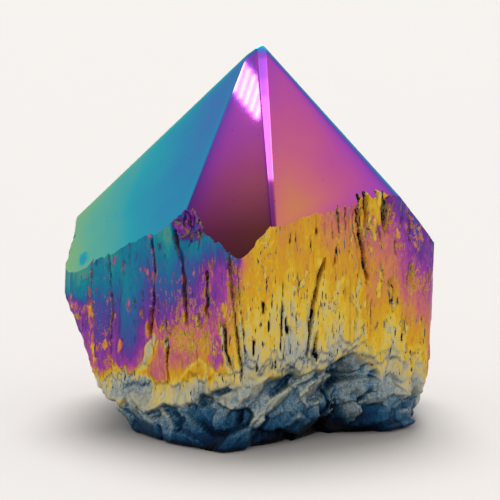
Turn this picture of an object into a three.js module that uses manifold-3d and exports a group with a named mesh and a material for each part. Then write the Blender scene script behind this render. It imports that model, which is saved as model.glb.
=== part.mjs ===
// A titanium-coated quartz point: one piece of crystal, about 61 mm wide and 63 mm tall.
// Its tip is ground and polished into flat faces that meet in one point. Below them is the raw
// skin of the crystal, six upright sides with lengthwise furrows, and under a ragged ledge the
// broken, lumpy foot, ground flat below so that the point stands upright.
//
// Frame: millimetres, +Z up, the foot's flat at z = 0, the front corner towards -Y.
// An azimuth is in degrees round the upright axis, 0 at the front and 90 at +X.

import * as THREE from "three";
import { mergeVertices } from "three/addons/utils/BufferGeometryUtils.js";
import Module from "manifold-3d";

const wasm = await Module();
wasm.setup();

// ---- Driving dimensions ----

const TIP = new THREE.Vector3(1.9, -4.9, 63.4);

// The polished faces. Each is a plane whose normal points to its azimuth and up by its slope,
// and which passes below the tip by its drop, measured square to the plane.
const POLISHED = [
  { azimuth: -13.3, slope: 35.3, drop: 0 }, // the kite between the two large front faces
  { azimuth: 3.9, slope: 37.0, drop: 0.23 }, // the sliver on the kite's right edge
  { azimuth: 21.6, slope: 35.7, drop: 0 }, // large, front right
  { azimuth: -53.2, slope: 35.4, drop: -0.94 }, // large, front left
  { azimuth: 104.6, slope: 38.9, drop: 0 }, // right
  { azimuth: 158, slope: 41, drop: 0.12 }, // back right
  { azimuth: -170, slope: 43.5, drop: -0.5 }, // back left
  { azimuth: -126.1, slope: 43, drop: 0.14 }, // left
];

// The raw sides. Each reach is a list of [height, distance of the side from the axis].
const SIDES = [
  { azimuth: -32.2, reach: [[0, 25.2], [3, 25.3], [8, 23.9], [12, 24], [46, 24]] }, // front left
  { azimuth: 26.8, reach: [[0, 22.2], [4, 23.2], [9, 23.5], [14, 24], [46, 24]] }, // front right
  { azimuth: 94, reach: [[0, 27.9], [5, 28.9], [9, 29.5], [14, 29.3], [24, 29.6], [46, 30]] }, // right
  { azimuth: 153, reach: [[0, 22.2], [4, 23.6], [12, 24.8], [30, 25.2], [46, 24.8]] }, // back right
  { azimuth: -157, reach: [[0, 21.4], [4, 23], [12, 24.8], [30, 25.2], [46, 24.8]] }, // back left
  {
    azimuth: -100, // left
    reach: [
      [0, 19.5], [3, 21.2], [6, 24], [11, 25.2], [17, 27.8], [22, 29.6], [27, 29.4], [31, 28.8], [38, 28],
      [46, 27.6],
    ],
  },
];
const CORNER_SHARPNESS = 0.9; // per millimetre: higher makes the six upright corners sharper
const FRONT_CORNER = { azimuth: -2.7, wide: 12, sharper: 1.8 }; // the front one is sharper than the rest

// The ledge where the furrowed skin stops and the broken foot starts, as [azimuth, height].
const LEDGE = [
  [-180, 8], [-150, 11], [-120, 9], [-95, 6], [-65, 6.6], [-56, 5.6], [-50, 8.2], [-40, 6.4], [-30, 6.6],
  [-18, 9.2], [-8, 11.6], [5, 12.6], [15, 11.8], [28, 12.4], [40, 13.8], [45, 15], [50, 12.6],
  [56, 10], [62, 7.4], [75, 5.8], [95, 8], [120, 12], [150, 9], [180, 8],
];
const LEDGE_DEPTH = 0.9; // how far the foot is set back under the ledge
const LEDGE_DROP = 1.6; // the height in which the set-back is reached
const LEDGE_WAVE = { along: 2.2, deep: 0.6 }; // how the ledge wavers up and down

// Furrows: [azimuth, height] from the top down, with the width and depth of the V.
const FURROWS = [
  { route: [[-7.4, 32], [-6.9, 29], [-6, 24], [-4.4, 18], [-3, 13], [-2.5, 10]], width: 2.1, depth: 1.7 },
  { route: [[-41.8, 33], [-40.5, 28], [-41, 23], [-43.5, 17], [-41, 12]], width: 1.7, depth: 1 },
  { route: [[-32, 35], [-27, 30], [-26, 25], [-25.4, 19]], width: 1.7, depth: 1 },
  { route: [[-60.2, 29], [-60, 19], [-60, 8]], width: 1.5, depth: 0.8 },
  { route: [[30, 30], [27.4, 26.5], [25, 22], [24, 18]], width: 1.8, depth: 1.2 },
  { route: [[27, 18.5], [25, 12]], width: 1.6, depth: 0.9 },
  { route: [[44.8, 39], [44, 35], [46.5, 31], [47, 26]], width: 1.7, depth: 1.2 },
  { route: [[56, 38.5], [56.5, 33]], width: 1.7, depth: 1.4 },
  { route: [[92, 29], [90, 20], [93, 12]], width: 1.8, depth: 0.9 },
  { route: [[124, 28], [121, 20], [123, 13]], width: 1.8, depth: 1.1 },
  { route: [[152, 30], [155, 22], [153, 12]], width: 1.9, depth: 1 },
  { route: [[181, 27], [178, 20], [180, 10]], width: 2, depth: 1.4 },
  { route: [[-152, 28], [-150, 20], [-153, 13]], width: 1.8, depth: 1 },
  { route: [[-124, 28], [-127, 20], [-124, 11]], width: 1.9, depth: 1.2 },
  { route: [[-98, 27], [-96, 20], [-98, 11]], width: 1.6, depth: 0.9 },
];

// Broad hollows (and bosses, where deep is below zero), each with its spread along and up the skin.
const HOLLOWS = [
  { azimuth: -26, height: 36.2, wide: 2.3, tall: 3.4, deep: 2.2 }, // the chipped corner by the kite
  { azimuth: 50, height: 37, wide: 6, tall: 4, deep: 0.9 }, // the crumbled shoulder
  { azimuth: 41, height: 0, wide: 3.4, tall: 6.5, deep: 3.2 }, // the cleft in the foot
  { azimuth: 43, height: 9, wide: 2, tall: 4.5, deep: 2.2 }, // its narrow top
  { azimuth: -60, height: 1.2, wide: 4.5, tall: 3.4, deep: 2.7 }, // the worn corner, front left
  { azimuth: -28, height: 0, wide: 5.5, tall: 3.5, deep: -1.9 }, // the heel, in three bosses
  { azimuth: -9, height: 0.5, wide: 7, tall: 3, deep: -0.9 },
  { azimuth: 10, height: 0, wide: 4, tall: 3, deep: -1.4 },
  { azimuth: 57, height: 1.5, wide: 4.2, tall: 3.5, deep: -2.1 }, // the toe, front right
  { azimuth: -140, height: 3, wide: 8, tall: 5, deep: 2 },
  { azimuth: 135, height: 2, wide: 7, tall: 5, deep: 1.6 },
];

const FLUTE = { along: 4.6, up: 26, deep: 0.9 }; // broad, upright ripples of the furrowed skin

// The broken foot: flat fracture faces in layers that rise to both sides of a line at x = hinge.
const FRACTURE = { along: 7.5, up: 4.2, deep: 1.3, rise: 0.35, hinge: -6 };
const FACET_SHARPNESS = 10; // higher makes the ridges between those faces sharper
const LUMP = { size: 8, deep: 1.2 }; // the soft swell under them

const ROWS_UP = [
  1.2, 2.6, 4.2, 5.8, 7.2, 8.6, 10, 11.4, 12.8, 14.4, 16.4, 18.6, 21, 23.4, 25.8, 28.2, 30.6, 33, 35.4, 37.8,
  40.2, 42.6, 66,
];
// The bottom's profile, as [share of the radius, height].
const UNDERSIDE = [[0, -1.2], [0.4, -1.2], [0.75, -1.2], [0.94, -0.7], [0.985, 0.3]];
const SEGMENTS = 168;

// ---- The shape of the raw crystal ----

const radians = THREE.MathUtils.degToRad;
const smoothstep = THREE.MathUtils.smoothstep;
const lerp = THREE.MathUtils.lerp;

// The value at x of a list of [x, value], straight between its points and level past its ends.
function between(list, x) {
  if (x <= list[0][0]) return list[0][1];
  for (let i = 1; i < list.length; i++) {
    const [x0, v0] = list[i - 1];
    const [x1, v1] = list[i];
    if (x <= x1) return lerp(v0, v1, (x - x0) / (x1 - x0));
  }
  return list.at(-1)[1];
}

// How far azimuth a lies past azimuth b, from -180 to 180 degrees.
function turnFrom(b, a) {
  return THREE.MathUtils.euclideanModulo(a - b + 180, 360) - 180;
}

// A fixed random value from 0 to 1 for each point of a lattice.
function latticeValue(i, j, k) {
  const s = Math.sin(i * 127.1 + j * 311.7 + k * 74.7) * 43758.5453;
  return s - Math.floor(s);
}

// Smooth noise from -1 to 1, with swells about one unit apart.
function noise(x, y, z) {
  const [i, j, k] = [Math.floor(x), Math.floor(y), Math.floor(z)];
  const ease = (t) => t * t * t * (t * (t * 6 - 15) + 10);
  const [u, v, w] = [ease(x - i), ease(y - j), ease(z - k)];
  let sum = 0;
  for (let c = 0; c < 8; c++) {
    const [dx, dy, dz] = [c & 1, (c >> 1) & 1, c >> 2];
    const weight = (dx ? u : 1 - u) * (dy ? v : 1 - v) * (dz ? w : 1 - w);
    sum += weight * latticeValue(i + dx, j + dy, k + dz);
  }
  return 2 * sum - 1;
}

// Nearly flat faces, each tilted its own way, one round each of the points strewn one to a lattice
// cell. The result is the height, about -1 to 1, of the face round the nearest point, eased into
// its neighbours' where they meet.
function facets(x, y, z) {
  let [sum, height] = [0, 0];
  for (let n = 0; n < 27; n++) {
    const i = Math.floor(x) + (n % 3) - 1;
    const j = Math.floor(y) + (Math.floor(n / 3) % 3) - 1;
    const k = Math.floor(z) + Math.floor(n / 9) - 1;
    const dx = x - i - latticeValue(i + 3, j, k);
    const dy = y - j - latticeValue(i, j + 19, k);
    const dz = z - k - latticeValue(i, j, k + 31);
    const weight = Math.exp(-FACET_SHARPNESS * (dx * dx + dy * dy + dz * dz));
    const [tiltX, tiltY, tiltZ] = [0, 7, 13].map((step) => latticeValue(i + step, j - step, k + 5) - 0.5);
    sum += weight;
    height += weight * 2 * (dx * tiltX + dy * tiltY + dz * tiltZ + tiltX);
  }
  return height / sum;
}

// The distance of the six plain sides from the axis at an azimuth and height, corners rounded.
function plainRadius(azimuth, height) {
  const offFront = turnFrom(FRONT_CORNER.azimuth, azimuth) / FRONT_CORNER.wide;
  const sharpness = CORNER_SHARPNESS + FRONT_CORNER.sharper * Math.exp(-offFront * offFront);
  let sum = 0;
  for (const side of SIDES) {
    const facing = Math.cos(radians(azimuth - side.azimuth));
    if (facing > 0.2) sum += Math.exp(-sharpness * (between(side.reach, height) / facing));
  }
  return -Math.log(sum) / sharpness;
}

// How deep the furrows cut at a point that lies at radius on the skin.
function furrowDepth(azimuth, height, radius) {
  let depth = 0;
  for (const furrow of FURROWS) {
    const [top, foot] = [furrow.route[0][1], furrow.route.at(-1)[1]];
    if (height > top || height < foot) continue;
    const upwards = furrow.route.map(([a, h]) => [h, a]).reverse();
    const aside = Math.abs(radians(turnFrom(between(upwards, height), azimuth))) * radius;
    const ends = smoothstep(height, foot, foot + 3) * (1 - smoothstep(height, top - 1.5, top));
    depth = Math.max(depth, furrow.depth * ends * Math.max(0, 1 - aside / (furrow.width / 2)));
  }
  return depth;
}

function hollowDepth(azimuth, height, radius) {
  let depth = 0;
  for (const hollow of HOLLOWS) {
    const aside = (radians(turnFrom(hollow.azimuth, azimuth)) * radius) / hollow.wide;
    const above = (height - hollow.height) / hollow.tall;
    depth += hollow.deep * Math.exp(-aside * aside - above * above);
  }
  return depth;
}

// How far the broken foot stands out at a place on it.
function fracture({ x, y, z }) {
  const layer = z - FRACTURE.rise * Math.abs(x - FRACTURE.hinge);
  const faces = facets(x / FRACTURE.along, y / FRACTURE.along, layer / FRACTURE.up);
  return FRACTURE.deep * faces + LUMP.deep * noise(x / LUMP.size, y / LUMP.size, z / LUMP.size);
}

// The radius of the raw crystal at an azimuth and height.
function rawRadius(azimuth, height) {
  const plain = plainRadius(azimuth, height);
  const turn = radians(azimuth);
  const p = new THREE.Vector3(plain * Math.sin(turn), -plain * Math.cos(turn), height);
  const wave = LEDGE_WAVE.deep * noise(p.x / LEDGE_WAVE.along, p.y / LEDGE_WAVE.along, 3);
  const ledge = between(LEDGE, turnFrom(0, azimuth)) + wave;
  const broken = 1 - smoothstep(height, ledge - LEDGE_DROP, ledge);
  const flutes = FLUTE.deep * noise(p.x / FLUTE.along, p.y / FLUTE.along, p.z / FLUTE.up) * 0.5;
  const skin = flutes - furrowDepth(azimuth, height, plain);
  return plain - hollowDepth(azimuth, height, plain) + lerp(skin, fracture(p) - LEDGE_DEPTH, broken);
}

// ---- Solids ----

function solidOf(geometry) {
  const bare = geometry.clone();
  bare.deleteAttribute("normal");
  bare.deleteAttribute("uv");
  const merged = mergeVertices(bare, 1e-4);
  const vertProperties = merged.attributes.position.array;
  const triVerts = new Uint32Array(merged.index.array);
  return new wasm.Manifold(new wasm.Mesh({ numProp: 3, vertProperties, triVerts }));
}

// The raw crystal: a turned blank of radius 1, whose rows are then drawn out to the raw radius.
function rawCrystal() {
  const profile = [...UNDERSIDE, ...ROWS_UP.map((height) => [1, height]), [0, ROWS_UP.at(-1)]];
  const points = profile.map(([share, height]) => new THREE.Vector2(share, height));
  const blank = new THREE.LatheGeometry(points, SEGMENTS);
  blank.rotateX(Math.PI / 2);
  const place = blank.attributes.position;
  const step = 360 / SEGMENTS;
  for (let i = 0; i < place.count; i++) {
    const [x, y, height] = [place.getX(i), place.getY(i), place.getZ(i)];
    const azimuth = Math.round(THREE.MathUtils.radToDeg(Math.atan2(x, -y)) / step) * step;
    const grow = rawRadius(turnFrom(0, azimuth), height);
    place.setXY(i, x * grow, y * grow);
  }
  return solidOf(blank);
}

// A block that lies on the outer side of a plane, to grind away what stands out of it.
const BLOCK = 160;
function blockOutside(normal, distance) {
  const block = new THREE.BoxGeometry(BLOCK, BLOCK, BLOCK);
  block.translate(0, 0, BLOCK / 2);
  block.applyQuaternion(new THREE.Quaternion().setFromUnitVectors(new THREE.Vector3(0, 0, 1), normal));
  block.translate(...normal.clone().multiplyScalar(distance).toArray());
  return solidOf(block);
}

function normalOf({ azimuth, slope }) {
  const [turn, rise] = [radians(azimuth), radians(slope)];
  return new THREE.Vector3(Math.cos(rise) * Math.sin(turn), -Math.cos(rise) * Math.cos(turn), Math.sin(rise));
}

let crystal = rawCrystal();
for (const face of POLISHED) {
  const normal = normalOf(face);
  crystal = crystal.subtract(blockOutside(normal, normal.dot(TIP) - face.drop));
}
crystal = crystal.subtract(blockOutside(new THREE.Vector3(0, 0, -1), 0)); // the flat under the foot

// ---- The mesh ----

function geometryOf(solid) {
  const mesh = solid.getMesh();
  const geometry = new THREE.BufferGeometry();
  geometry.setAttribute("position", new THREE.BufferAttribute(mesh.vertProperties, mesh.numProp));
  geometry.setIndex(new THREE.BufferAttribute(mesh.triVerts, 1));
  const flat = geometry.toNonIndexed();
  flat.computeVertexNormals();
  return flat;
}

const titaniumCoat = new THREE.MeshStandardMaterial({ color: 0x7d6a8c, roughness: 0.3, metalness: 0.9 });
const point = new THREE.Mesh(geometryOf(crystal), titaniumCoat);
point.name = "crystal_point";

const group = new THREE.Group();
group.name = "coated_crystal_point";
group.add(point);

export default group;
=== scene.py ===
"""A titanium-coated quartz point on a pale floor.

One piece of crystal: a tip ground into flat polished faces, raw sides with splits, pits and layers
that flake off, and a broken foot that is ground flat below. A metal film covers all of it, and its
colour follows from its thickness, save for painted shade that darkens splits, pits and the foot
near the floor, and a painted highlight where the foot stands out.

Lengths are in millimetres until the finished mesh is scaled to metres. An azimuth is in degrees
round the upright axis, 0 at the front and 90 at +X. A film is the coat's thickness as a share of
the thickest: 0 is bare silver, below 0 is the dark, starved coat in hollows and on the broken foot,
which on the foot also carries painted shade towards the floor and in clefts.
"""

import math
from types import SimpleNamespace

import bmesh
import bpy
import numpy as np
from mathutils import Matrix, Quaternion, Vector


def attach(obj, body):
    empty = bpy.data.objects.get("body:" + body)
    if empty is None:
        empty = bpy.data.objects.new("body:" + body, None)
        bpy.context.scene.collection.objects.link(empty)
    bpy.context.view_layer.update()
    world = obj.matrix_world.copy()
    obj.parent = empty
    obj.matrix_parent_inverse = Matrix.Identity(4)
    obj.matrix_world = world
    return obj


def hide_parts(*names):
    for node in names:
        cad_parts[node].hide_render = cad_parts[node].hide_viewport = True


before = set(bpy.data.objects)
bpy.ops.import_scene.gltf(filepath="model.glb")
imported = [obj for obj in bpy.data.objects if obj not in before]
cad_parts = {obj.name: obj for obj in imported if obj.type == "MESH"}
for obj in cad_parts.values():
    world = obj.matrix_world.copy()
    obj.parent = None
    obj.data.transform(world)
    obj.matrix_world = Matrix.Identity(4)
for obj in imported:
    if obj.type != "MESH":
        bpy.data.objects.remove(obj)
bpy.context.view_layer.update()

MM = 0.001


def named(columns, *rows):
    """The rows by their first item, the rest of each by the names of its columns."""
    return {name: dict(zip(columns.split(), values)) for name, *values in rows}


# ---- The crystal's main shape ----

TIP = (1.9, -4.9, 63.4)

# The polished faces: azimuth and slope of the normal, how far the face passes below the tip, the
# film at the face's top with its change per millimetre to the right and down, and how far the film
# rises towards 1 in its neighbours, where they meet it.
POLISHED = named(
    "azimuth slope drop film rim",
    ("kite", -13.3, 35.3, 0, (0.49, -0.016, -0.0053), 0.15),
    ("sliver", 3.9, 37.0, 0.23, (0.46, 0, -0.0025), 0.06),
    ("front_right", 21.6, 35.7, 0, (0.415, 0.0139, -0.0055), 0.06),
    ("front_left", -53.2, 35.4, -0.94, (0.635, -0.0078, 0.0053), 0.1),
    ("right", 104.6, 38.9, 0, (0.74, 0.004, -0.006), 0.9),
    ("back_right", 158, 41, 0.12, (0.55, -0.006, -0.009), 0.8),
    ("back_left", -170, 43.5, -0.5, (0.36, -0.008, 0.005), 0.8),
    ("left", -126.1, 43, 0.14, (0.88, 0.006, 0.002), 0.8),
)

# The raw sides. Each film is the coat at the side's left and right end, at the shoulder and at the
# foot, and each bend is the power by which it goes from left to right and from foot to shoulder. Each
# reach is a list of (height, distance of the side from the axis).
SIDES = named(
    "azimuth spread film bend reach",
    ("front_left", -32.2, 31, ((0.90, 0.74), (0.52, 0.06)), (1, 1), [
        (0, 25.2), (3, 25.3), (8, 23.9), (12, 24), (46, 24),
    ]),
    ("front_right", 26.8, 38, ((0.17, 0.50), (0.05, 0.10)), (2.4, 1.5), [
        (0, 22.2), (4, 23.2), (9, 23.5), (14, 24), (46, 24),
    ]),
    ("right", 94, 27, ((0.70, 0.95), (0.24, 0.5)), (1, 1), [
        (0, 27.9), (5, 28.9), (9, 29.5), (14, 29.3), (24, 29.6), (46, 30),
    ]),
    ("back_right", 153, 28, ((0.86, 0.50), (0.35, 0.12)), (1, 1), [
        (0, 22.2), (4, 23.6), (12, 24.8), (30, 25.2), (46, 24.8),
    ]),
    ("back_left", -157, 27, ((0.44, 0.76), (0.08, 0.35)), (1, 1), [
        (0, 21.4), (4, 23), (12, 24.8), (30, 25.2), (46, 24.8),
    ]),
    ("left", -100, 33, ((0.86, 0.94), (0.48, 0.5)), (1, 0.5), [
        (0, 19.5), (3, 21.2), (6, 24), (11, 25.2), (17, 27.8), (22, 29.6), (27, 29.4), (31, 28.8),
        (38, 28), (46, 27.6),
    ]),
)
SHOULDER, FOOT = 34, 10  # heights at which the sides' films are given
LEAST_FACING = 0.2  # a side counts where the cosine of the turn away from it is above this

# How sharp the corners between sides are, and where, how widely and by how much the front one is more.
CORNER_SHARPNESS = 0.9
FRONT_CORNER, FRONT_WIDE, FRONT_SHARPER = -2.7, 12, 1.8

# The ledge where the skin stops above the broken foot, as (azimuth, height), with how far the foot is
# set back below it and the height over which that happens.
LEDGE = [
    (-180, 8), (-150, 11), (-120, 9), (-95, 6), (-65, 6.6), (-56, 5.6), (-50, 8.2), (-40, 6.4),
    (-30, 6.6), (-18, 9.2), (-8, 11.6), (5, 12.6), (15, 11.8), (28, 12.4), (40, 13.8), (45, 15),
    (50, 12.6), (56, 10), (62, 7.4), (75, 5.8), (95, 8), (120, 12), (150, 9), (180, 8),
]
LEDGE_DEPTH, LEDGE_DROP = 0.9, 1.6

# The furrows of the part: (azimuth, height) from the top down, with the width and depth of the V.
FURROWS = [
    ([(-7.4, 32), (-6.9, 29), (-6, 24), (-4.4, 18), (-3, 13), (-2.5, 10)], 2.1, 1.7),
    ([(-41.8, 33), (-40.5, 28), (-41, 23), (-43.5, 17), (-41, 12)], 1.7, 1),
    ([(-32, 35), (-27, 30), (-26, 25), (-25.4, 19)], 1.7, 1),
    ([(-60.2, 29), (-60, 19), (-60, 8)], 1.5, 0.8),
    ([(30, 30), (27.4, 26.5), (25, 22), (24, 18)], 1.8, 1.2),
    ([(27, 18.5), (25, 12)], 1.6, 0.9),
    ([(44.8, 39), (44, 35), (46.5, 31), (47, 26)], 1.7, 1.2),
    ([(56, 38.5), (56.5, 33)], 1.7, 1.4),
    ([(92, 29), (90, 20), (93, 12)], 1.8, 0.9),
    ([(124, 28), (121, 20), (123, 13)], 1.8, 1.1),
    ([(152, 30), (155, 22), (153, 12)], 1.9, 1),
    ([(181, 27), (178, 20), (180, 10)], 2, 1.4),
    ([(-152, 28), (-150, 20), (-153, 13)], 1.8, 1),
    ([(-124, 28), (-127, 20), (-124, 11)], 1.9, 1.2),
    ([(-98, 27), (-96, 20), (-98, 11)], 1.6, 0.9),
]

# Broad hollows, and bosses where deep is below zero: azimuth, height, wide, tall, deep. Those at 41,
# -60 and -30 degrees differ a little from the part's.
HOLLOWS = [
    (-26, 36.2, 2.3, 3.4, 2.2), (50, 37, 6, 4, 0.9), (41, 4, 3.2, 4.2, 2.6), (43, 9, 2, 4.5, 2.2),
    (-60, 1.2, 4.5, 3.4, 2.0), (-30, 0, 7, 3.5, -2.1), (-9, 0.5, 7, 3, -0.9), (10, 0, 4, 3, -1.4),
    (57, 1.5, 4.2, 3.5, -2.1), (-140, 3, 8, 5, 2), (135, 2, 7, 5, 1.6),
]

# The skin's shallow flutes, then the foot's large broken faces and lumps: how wide and tall, how sharp
# the faces' ridges, and how deep. The faces' layers rise away from a hinge, which is a place along x.
FLUTES, FLUTE_DEEP = (4.6, 26), 0.45
FRACTURES, FRACTURE_DEEP = (7.5, 4.2, 24), 1.3
FRACTURE_RISE, FRACTURE_HINGE = 0.35, -6
LUMPS, LUMP_DEEP = (8, 8), 1.2

# ---- Fine relief and coat of the raw skin ----

SKIN_INSET = 0.19  # how far the fine skin lies inside the plain one
MEAN_RADIUS = 26  # of the skin, for sizes along it
GRAIN_RISE, GRAIN_TALL = 0.6, 26  # slope of the ends of swells this tall
GROOVE_START, GROOVE_END = 1.5, 3  # lengths over which a groove begins and ends
FURROW_SHARE = 0.4  # of the furrows' depth, since splits lie in them
TERRACE_DEEP, TERRACES = 0.17, (-3, 1)  # the step, and the lowest and highest terrace
CRUMB_DEEP, CRUMB_SINK = 0.55, 0.15
PIT_DEEP, PIT_RARITY = 0.7, 0.9

# Broken faces: how wide and tall, how sharp the ridges between them, and the shift of the pattern.
CRUMBS = (0.7, 1.1, 16)
CHIPS = (4.2, 2.3, 60, (7, 0, 0))
SMALL_CHIPS = (1.7, 1.1, 50, (0, 5, 0))
RUBBLE = (2.3, 3.4, 34, (0, 3, 0))
CHIP_RISE, RUBBLE_LEAN = 0.45, 0.5  # slopes of the layers that chips and rubble lie in
CHIP_DEEP, SMALL_CHIP_DEEP, RUBBLE_DEEP = 0.55, 0.22, 0.9
CLEFT_DEEP, RUBBLE_CLEFT = 0.3, 0.4
FOOT_SINK, RUBBLE_SINK = 0.35, 0.35

# Splits and slots: (azimuth, height) from the top down, with their width and depth.
SPLITS = [
    ([(-7.2, 33), (-6.9, 29), (-6, 24), (-4.4, 18), (-3, 13), (-2.5, 10)], 0.26, 0.9),
    ([(-4.2, 31.5), (-3.4, 24), (-1.6, 17), (-1, 12.5)], 0.24, 0.5),
    ([(-9.6, 21), (-8.6, 16), (-5.2, 12)], 0.6, 0.7),
    ([(-41.8, 33.5), (-40.5, 28), (-41, 23), (-43.6, 17), (-43.4, 15.5)], 0.6, 1.1),
    ([(-34.5, 17.5), (-35, 13), (-33.8, 9)], 0.5, 1.0),
    ([(-32, 35.5), (-30, 32), (-27, 30), (-26, 25), (-25.4, 19)], 0.5, 0.9),
    ([(-60.4, 30.5), (-60, 24), (-60.3, 16), (-59.6, 7.5)], 0.5, 0.9),
    ([(-66.2, 30), (-66, 18), (-65.6, 10)], 0.4, 0.5),
    ([(-54.6, 29.5), (-54.2, 23)], 0.35, 0.35),
    ([(-54.4, 16.5), (-54.8, 12.5)], 0.5, 0.7),
    ([(-16.5, 29.5), (-16, 21)], 0.5, 0.9),
    ([(-19.8, 22.5), (-19.4, 18.5)], 0.4, 0.5),
    ([(30.5, 31), (27.6, 26.5), (25.2, 22.5), (23.6, 17.5), (23, 13)], 0.5, 1.0),
    ([(34.5, 31.5), (33.6, 28.5)], 0.5, 1),
    ([(27.5, 19), (26, 12.5)], 0.5, 0.9),
    ([(45.8, 41.2), (46.2, 35), (47.2, 31), (48.4, 25)], 0.8, 1.5),
    ([(48.8, 41.4), (49.1, 34.2)], 1.1, 1.6),
    ([(53, 41.4), (53.4, 38)], 0.8, 1.2),
    ([(56.8, 39.8), (56.5, 33.2)], 1.3, 1.6),
    ([(53.6, 35.2), (53.9, 31.4)], 0.9, 1.4),
    ([(58.2, 32.8), (58.3, 29.2)], 0.8, 1.3),
    ([(62.5, 28.8), (61.4, 24)], 0.8, 1.2),
    ([(39, 39.4), (39.4, 33.6)], 0.4, 0.8),
    ([(36.4, 39), (36, 33)], 0.35, 0.7),
    ([(63, 37.2), (62.3, 31.4)], 0.8, 1.3),
    ([(57, 26.5), (57.4, 19.5)], 0.5, 0.9),
    ([(61.2, 15.4), (61.3, 12)], 0.5, 0.9),
    ([(92, 30), (90, 20), (93, 12)], 0.7, 1.2),
    ([(106, 27), (108, 14)], 0.5, 0.8),
    ([(124, 29), (121, 20), (123, 13)], 0.7, 1.2),
    ([(137, 30), (139, 17)], 0.5, 0.8),
    ([(152, 31), (155, 22), (153, 12)], 0.7, 1.2),
    ([(168, 29), (166, 15)], 0.5, 0.9),
    ([(181, 28), (178, 20), (180, 10)], 0.8, 1.3),
    ([(-166, 28), (-168, 15)], 0.5, 0.8),
    ([(-152, 29), (-150, 20), (-153, 13)], 0.7, 1.2),
    ([(-138, 27), (-139, 14)], 0.5, 0.9),
    ([(-124, 29), (-127, 20), (-124, 11)], 0.7, 1.2),
    ([(-98, 29), (-96, 20), (-98, 11)], 0.6, 1.1),
    ([(-84, 28), (-82, 16)], 0.5, 0.8),
]
SPLIT_WANDER = 0.3  # how far, in degrees, splits stray from their lines
SPLIT_BESIDE = 2.4  # width of the skin that counts as beside a split
LIP_WIDE, LIP_ASIDE, LIP_LOSS = 0.7, 0.2, 0.30  # of a split's pale lip; its film is this much thinner

# Strips of skin, each from its left edge (azimuth at 32 mm and at 12 mm up) to the next strip's.
# Its outer layer ends in a lobe at a height, below which the next layer's film is thinner by a
# step. That layer ends at a second height, below which the coat is thin and pale.
STRIPS = [
    (-180, -180, 15, 0.15, 11), (-168, -167, 13, 0.2, 11.5), (-152, -153, 17, 0.12, 13),
    (-139, -139, 14, 0.2, 11), (-125, -124, 16, 0.2, 12), (-110, -111, 12, 0.15, 10),
    (-97, -98, 14, 0.2, 9), (-83, -82, 20, 0.12, 9), (-66.2, -65.6, 10.5, 0.2, 8.8),
    (-60.2, -60, 11.6, 0.3, 8.6), (-41.5, -43.8, 19.6, 0.15, 10), (-30, -25, 20.5, 0.13, 11),
    (-16.4, -15.2, 21.5, 0.04, 13), (-7.2, -3, 26, 0.1, 15), (-3.6, -0.6, 14.8, 0.04, 13.5),
    (9, 9, 15, 0.05, 13), (29, 23.4, 15.5, 0.06, 13.6), (36, 36, 16.5, 0.03, 15),
    (46.4, 47, 14.6, 0.05, 12.4), (57, 57.2, 12.6, 0.07, 9.2), (66, 65, 11, 0.1, 7.6),
    (79, 80, 13, 0.12, 9), (92, 92, 17, 0.2, 12), (107, 107, 15, 0.15, 13), (122, 122, 18, 0.2, 15),
    (138, 138, 15, 0.1, 12), (153, 153, 13, 0.2, 11), (167, 166, 16, 0.15, 10), (180, 180, 15, 0.15, 11),
]
STRIP_TOP, STRIP_FOOT = 32, 12  # heights at which a strip's edges are given
STRIP_WANDER = 0.8  # how far, in degrees, those edges stray
LOBE_SAG, SECOND_SAG = 2.4, 1.5  # how much higher each layer ends at its strip's edges than between
LOBE_MIDDLE = 0.4  # share of that by which it ends below its height between them
LAYER_EDGE = 0.15  # half the height over which a layer ends
LAYER_DEEP, SECOND_DEEP = 0.3, 0.25
LAYER_RIM, RIM_LOSS = 0.35, 0.07  # height of a layer's pale rim, and how much thinner its film is
WORN_FILM = 0.14  # the thickest film where both layers are gone

# The foot's film by height; its fall to near black in the lowest millimetres is painted shade.
FOOT_FILM_AND_SHADE = [(0, -0.38), (1.5, -0.31), (3, -0.21), (5, -0.09), (8, -0.02), (12, 0.02)]  # by height
LEDGE_FILM = 0.045  # the thickest film just above the ledge
CAVE = (46, 7, 5.5, 8)  # where the foot has broken into upright rubble: azimuth, height, wide, tall

# Painted shade on the foot, mixed towards near black: towards the floor between these heights, and in
# the cleft and at the cave's foot at azimuth, height, wide, tall, by an amount.
FLOOR_SHADE = (-0.4, 1.6)
SHADES = [(39.5, 2.5, 1.7, 5.5, 1.1), (36, 0, 9, 2.8, 1.2)]

# Plates where the coat is of its own thickness: film inside, film at the rim, and the outline as
# (azimuth, height).
PLATES = [
    (0.03, 0.10, [
        (-43.3, 17.9), (-40.7, 17.4), (-41, 15.8), (-42.8, 13.6), (-45.8, 12.2), (-49, 10.8), (-45.4, 14),
    ]),
    (0.33, 0.17, [
        (-39.8, 16.6), (-41.6, 14.3), (-46.4, 11.3), (-50.4, 10.2), (-42.9, 9.6), (-34.2, 9.2),
        (-34.6, 17),
    ]),
    (0.23, 0.12, [(-29.7, 10.1), (-24.9, 12.9), (-19.7, 14.7), (-16.9, 13.6), (-16.9, 10.8)]),
    (0.46, 0.34, [(-14.8, 19), (-10.5, 19.6), (-8.6, 15), (-13, 12.6), (-15, 15)]),
    (0.38, 0.2, [(-16.2, 12.2), (-13.4, 12.6), (-13.2, 9.8), (-16, 9.6)]),
    (0.15, 0.2, [
        (44.8, 42), (45.2, 37), (46.8, 33.6), (48, 36.6), (49.4, 34), (51.2, 37), (53.4, 34.2),
        (55, 37.4), (57, 42),
    ]),
]
PLATE_WANDER = 0.45  # how far, in degrees, the outlines stray

# Where the skin is crumbled: azimuth, height, wide, tall, film.
CRUMBLES = [(-27, 37.2, 2.6, 3.4, 0.50), (-23, 35.6, 2.4, 1.8, 0.55)]

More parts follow.
